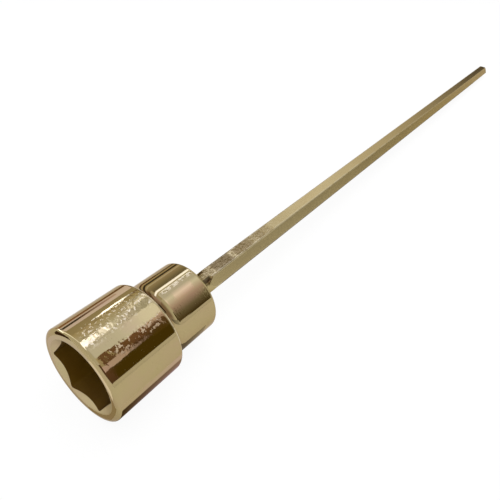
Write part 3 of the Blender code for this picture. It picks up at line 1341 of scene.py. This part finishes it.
@dataclass
class Studio:
    """White floor and world, soft lamps, and the cards round the tool."""

    floor_size: float = 6.0
    floor_segments: int = 4
    floor_colour: Colour = (0.8, 0.8, 0.8)
    floor_roughness: float = 0.9
    seen_white: float = 0.92
    mirrored_white: float = 0.5
    sky: float = 0.5
    lamps: tuple[Lamp, ...] = (
        Lamp("soft_top", (0.05, -0.05, 1.1), 1.2, 14.0),
        Lamp("soft_side", (-0.9, -0.7, 0.9), 0.9, 6.0),
    )
    nose_cards: tuple[Card, ...] = (
        Card("near_flag", (58, 81), (0.18, 0.291), (0.1, 0.1), Tint.OLIVE),
        Card("near_flag_front", (54.5, 58), (0.18, 0.251), (0.1, 0.1), Tint.OLIVE),
        Card("near_flag_start", (54.5, 81), (-0.12, 0.18), (0.17, 0.13), Tint.BROWN),
        Card("near_flag_mid", (42.5, 48.5), (0.213, 0.251), (0.18, 0.14), Tint.BROWN),
        Card("near_flag_rear", (37, 58), (0.251, 0.291), (0.17, 0.12), Tint.BROWN, Tint.OLIVE),
        Card("near_flag_rim", (36, 81), (-1.6, -0.12), (0.16, 0.12), Tint.BROWN),
        Card("rose_strip", (42.5, 54.5), (-0.12, 0.213), (1.2, 0.85), Tint.ROSE, grade=Grade.ALONG),
        Card("rose_strip_mid", (48.5, 54.5), (0.213, 0.251), (0.6, 0.12), Tint.ROSE, Tint.BROWN, Grade.ALONG),
        Card("brown_flag_start", (23, 42.5), (-0.12, 0.168), (0.8, 0.65), Tint.WARM),
        Card("brown_flag_fade", (22, 42.5), (0.168, 0.178), (0.7, 0.2), Tint.WARM, Tint.BROWN, Grade.ALONG),
        Card("brown_flag", (21, 42.5), (0.178, 0.208), (0.24, 0.19), Tint.BROWN),
        Card("brown_flag_mid", (26, 42.5), (0.208, 0.251), (0.27, 0.2), Tint.BROWN),
        Card("brown_flag_rear", (24, 32.5), (0.251, 0.291), (1.15, 0.92), Tint.ROSE),
        Card("brown_flag_edge", (32.5, 37), (0.251, 0.291), (0.92, 0.2), Tint.ROSE, Tint.BROWN),
        Card("overhead_panel", (-3, 20.5), (-0.12, 0.208), (0.95, 1.25), Tint.COOL, grade=Grade.ALONG),
        Card("overhead_panel_mid", (-3, 25.5), (0.208, 0.251), (1.25, 1.5), Tint.COOL, grade=Grade.ALONG),
        Card("overhead_panel_rear", (-3, 23.5), (0.251, 0.291), (1.6, 1.7), Tint.COOL, grade=Grade.ALONG),
        Card("mouth_panel", (-22.5, -9.5), (-0.5, 0.174), (3.6, 3.6), Tint.BRIGHT),
        Card("mouth_panel_edge", (-9.5, -3), (-0.5, 0.21), (1.5, 1.0), Tint.COOL),
        Card(
            "mouth_panel_fade",
            (-22.5, -9.5),
            (0.174, 0.215),
            (3.6, 1.6),
            Tint.BRIGHT,
            Tint.COOL,
            Grade.ALONG,
        ),
        Card("back_panel", (-24, -3), (0.215, 0.291), (1.35, 0.7), Tint.COOL, Tint.NEUTRAL, Grade.ALONG),
        Card("rear_strip", (-39, -22), (0.251, 0.291), (0.9, 2.2), Tint.COOL, distance=0.49),
        Card("mid_card", (-47, -25), (-0.12, 0.288), (0.78, 1.0), Tint.WARM, Tint.NEUTRAL),
        Card("nose_key_start", (-55.5, -52.5), (0.201, 0.215), (1.0, 4.6), Tint.BRIGHT, grade=Grade.ALONG),
        Card("nose_key", (-56.5, -52), (0.215, 0.25), (5.0, 5.0), Tint.BRIGHT),
        Card("nose_key_end", (-55.5, -52.5), (0.25, 0.264), (4.6, 0.8), Tint.BRIGHT, grade=Grade.ALONG),
        Card("nose_line", (-54.5, -50.5), (0.264, 0.291), (0.2, 0.2), Tint.BROWN),
        Card("nose_far_card", (-69, -46), (-0.12, 0.291), (0.58, 0.65), Tint.WARM, distance=0.51),
        Card("far_card", (-100, -69), (-0.1, 0.291), (1.0, 1.45), Tint.BLUSH, None, Grade.ALONG, 0.53),
        Card("far_line", (-86.5, -79), (-0.05, 0.19), (0.12, 0.12), Tint.WARM),
        Card("far_line_end", (-86.5, -79.5), (0.19, 0.25), (0.14, 1.0), Tint.BROWN, Tint.ROSE, Grade.ALONG),
        Card("far_low_line", (-91, -82.5), (0.0, 0.06), (0.5, 0.16), Tint.BROWN, None, Grade.ALONG, 0.06),
        Card("far_low_line_rear", (-91, -82.5), (0.06, 0.09), (0.24, 0.24), Tint.WARM, distance=0.06),
    )
    mouth_cards: tuple[Card, ...] = (
        Card("rim_flag", (-114, -86), (-0.031, -0.012), (0.07, 0.07), Tint.BROWN, distance=0.03),
        Card("rim_key", (-91, -83.5), (-0.32, -0.05), (5.0, 5.0), Tint.BRIGHT),
        Card("rim_panel", (-80, -25), (-0.32, -0.12), (2.2, 1.8), Tint.COOL),
        Card("face_glow", (165, 222), (-0.0145, -0.0056), (1.7, 1.7), Tint.COOL, distance=0.0128),
        Card("face_glow_far", (222, 282), (-0.0145, -0.0008), (1.25, 1.25), Tint.COOL, distance=0.0128),
        Card("face_shade", (140, 181), (-0.005, -0.0005), (0.6, 0.6), Tint.WARM, distance=0.0128),
    )
    bench_cards: tuple[Card, ...] = (
        Card(
            "under_glow",
            (96, 106),
            (0.0005, 0.022),
            (1.1, 1.25),
            Tint.NEUTRAL,
            Tint.BLUSH,
            Grade.ALONG,
            0.0143,
        ),
        Card(
            "under_shade",
            (106, 172),
            (0.001, 0.022),
            (0.08, 0.6),
            Tint.OLIVE,
            Tint.ROSE,
            Grade.ALONG,
            0.0143,
        ),
        Card(
            "under_shade_rear",
            (109, 172),
            (0.0205, 0.033),
            (0.03, 0.7),
            Tint.BROWN,
            Tint.NEUTRAL,
            Grade.ALONG,
            0.0124,
        ),
    )
    collar_cards: tuple[Card, ...] = (
        Card("collar_panel", (-22, -2), (0.291, 0.384), (1.2, 1.1), Tint.COOL),
        Card("collar_panel_end", (-2, 8), (0.291, 0.384), (1.15, 1.5), Tint.COOL),
        Card("collar_rose", (8, 33), (0.291, 0.384), (1.5, 0.82), Tint.COOL, Tint.ROSE),
        Card("collar_blush", (-4, 10), (0.312, 0.35), (1.15, 1.9), Tint.COOL, Tint.BLUSH, distance=0.49),
        Card("collar_blush_end", (10, 27), (0.312, 0.35), (1.9, 1.0), Tint.BLUSH, Tint.ROSE, distance=0.49),
        Card("collar_fade", (33, 58), (0.291, 0.384), (0.8, 0.28), Tint.ROSE, Tint.WARM),
        Card("collar_flag", (58, 79), (0.291, 0.32), (0.3, 0.1), Tint.WARM, Tint.OLIVE),
        Card("collar_flag_rear", (58, 81), (0.32, 0.384), (0.28, 0.07), Tint.WARM, Tint.OLIVE),
        Card("collar_key", (-34.5, -28), (0.288, 0.55), (2.7, 2.7), Tint.BRIGHT),
        Card("collar_far_card", (-64, -36), (0.285, 0.384), (0.65, 0.25), Tint.WARM),
        Card("collar_far_card_end", (-66, -51), (0.384, 1.2), (0.6, 0.4), Tint.WARM),
        Card("collar_far_panel", (-100, -69), (0.291, 1.2), (0.78, 0.5), Tint.WARM, None, Grade.ALONG, 0.53),
        Card("collar_far_line", (-83, -74), (0.285, 1.2), (0.1, 0.1), Tint.WARM),
    )
    rod_cards: tuple[Card, ...] = (
        Card("neck_flag", (45, 75), (0.39, 0.43), (0.1, 0.1), Tint.OLIVE),
        Card(
            "rod_panel_start",
            (-50, -5),
            (0.384, 0.56),
            (0.7, 0.85),
            Tint.WARM,
            Tint.NEUTRAL,
            Grade.ALONG,
            0.51,
        ),
        Card("rod_panel", (-50, -5), (0.56, 0.76), (0.95, 1.85), Tint.NEUTRAL, Tint.COOL, Grade.ALONG, 0.51),
        Card("rod_panel_far", (-50, -5), (0.76, 2.15), (1.6, 0.04), Tint.COOL, Tint.OLIVE, Grade.ALONG),
        Card("rod_panel_end", (-95, 40), (2.15, 30.0), (0.03, 0.03), Tint.OLIVE),
        Card("rod_low_panel", (72, 89), (0.42, 1.1), (0.65, 0.4), grade=Grade.ALONG),
        Card("rod_low_panel_far", (72, 89), (1.1, 2.1), (0.4, 1.4), last_tint=Tint.COOL, grade=Grade.ALONG),
        Card("rod_low_panel_end", (72, 89), (2.1, 3.4), (1.4, 1.0), Tint.COOL, grade=Grade.ALONG),
        Card("rod_shade", (93, 155), (0.046, 0.33), (0.2, 0.2), Tint.OLIVE, distance=0.0045),
    )

    def build(self) -> None:
        """Set up the floor, the world, the lamps and the cards."""
        self.floor()
        self.world()
        cards = self.nose_cards + self.mouth_cards + self.bench_cards + self.collar_cards + self.rod_cards
        for prop in self.lamps + cards:
            prop.build()

    def floor(self) -> Piece:
        """Lay the white floor, which keeps a faint shadow of the tool.

        Returns:
            The floor.
        """
        shape = bmesh.new()
        segments, size = self.floor_segments, self.floor_size / 2
        bmesh.ops.create_grid(shape, x_segments=segments, y_segments=segments, size=size)
        floor = linked(shape, "bench_top")
        mix = Recipe("white_bench")
        mix.dress(Base_Color=self.floor_colour, Roughness=self.floor_roughness, Specular_IOR_Level=0.0)
        share = mix.white_share(self.seen_white, self.mirrored_white)
        white = mix.node("Emission").outputs["Emission"]
        both = mix.node("MixShader", {0: share, 1: mix.shader.outputs["BSDF"], 2: white})
        mix.surface(both.outputs["Shader"])
        floor.data.materials.append(mix.material)
        return floor

    def world(self) -> None:
        """White all round for the camera and for what mirrors it, and a plain soft sky for the rest."""
        world = bpy.data.worlds.new("white_room")
        world.use_nodes = True
        nodes = Nodes(world.node_tree)
        back = nodes.tree.nodes["Background"]
        lift = nodes.math("MULTIPLY_ADD", nodes.white_share(1.0, 1.0), 1.0 - self.sky, self.sky)
        nodes.feed(back.inputs["Color"], Tint.NEUTRAL.value)
        nodes.feed(back.inputs["Strength"], lift)
        bpy.context.scene.world = world


@dataclass
class Viewpoint:
    """Camera at the photograph's viewing angle, given on the tool's own axes."""

    lens: float = 32.65
    sensor: float = 36.0
    nearest: float = 0.005
    place: Point = (-0.03190, -0.05760, 0.08870)
    right: Point = (0.5897, -0.7994, 0.1152)
    up: Point = (0.4542, 0.4462, 0.7711)
    forward: Point = (0.6678, 0.4024, -0.6262)

    def build(self) -> Piece:
        """Set the scene's camera.

        Returns:
            The camera.
        """
        data = bpy.data.cameras.new("viewpoint")
        data.lens, data.sensor_width, data.clip_start = self.lens, self.sensor, self.nearest
        camera = bpy.data.objects.new("viewpoint", data)
        turn = Matrix((self.right, self.up, tuple(-part for part in self.forward))).transposed()
        aim = (LAY.matrix().to_3x3() @ turn).to_quaternion().to_matrix().to_4x4()
        camera.matrix_world = Matrix.Translation(LAY.point(*self.place)) @ aim
        bpy.context.scene.collection.objects.link(camera)
        bpy.context.scene.camera = camera
        return camera


# --- The whole ------------------------------------------------------------------------------------


def report(pieces: Iterable[Piece]) -> None:
    """Log the size of each piece.

    Args:
        pieces: The pieces of the tool.
    """
    for piece in pieces:
        size = ", ".join(f"{part * MILLIMETRES:.1f}" for part in piece.dimensions)
        LOG.info("%s: %s mm, %d faces", piece.name, size, len(piece.data.polygons))


def main() -> None:
    """Build the tool and its studio in order."""
    logging.basicConfig(level=logging.INFO, format="%(name)s: %(message)s")
    bpy.context.scene.view_settings.view_transform = "Standard"
    Viewpoint().build()
    Studio().build()

    socket_maker, rod_maker, detent_maker = Socket(), DriveRod(), Detent()
    socket = socket_maker.build()
    socket_maker.dress(socket)
    rod = rod_maker.build()
    rod_maker.dress(rod)
    ball, spring = detent_maker.build_ball(), detent_maker.build_spring()
    detent_maker.dress(ball, spring)

    bpy.context.view_layer.update()
    report((socket, rod, ball, spring))


if __name__ == "__main__":
    main()
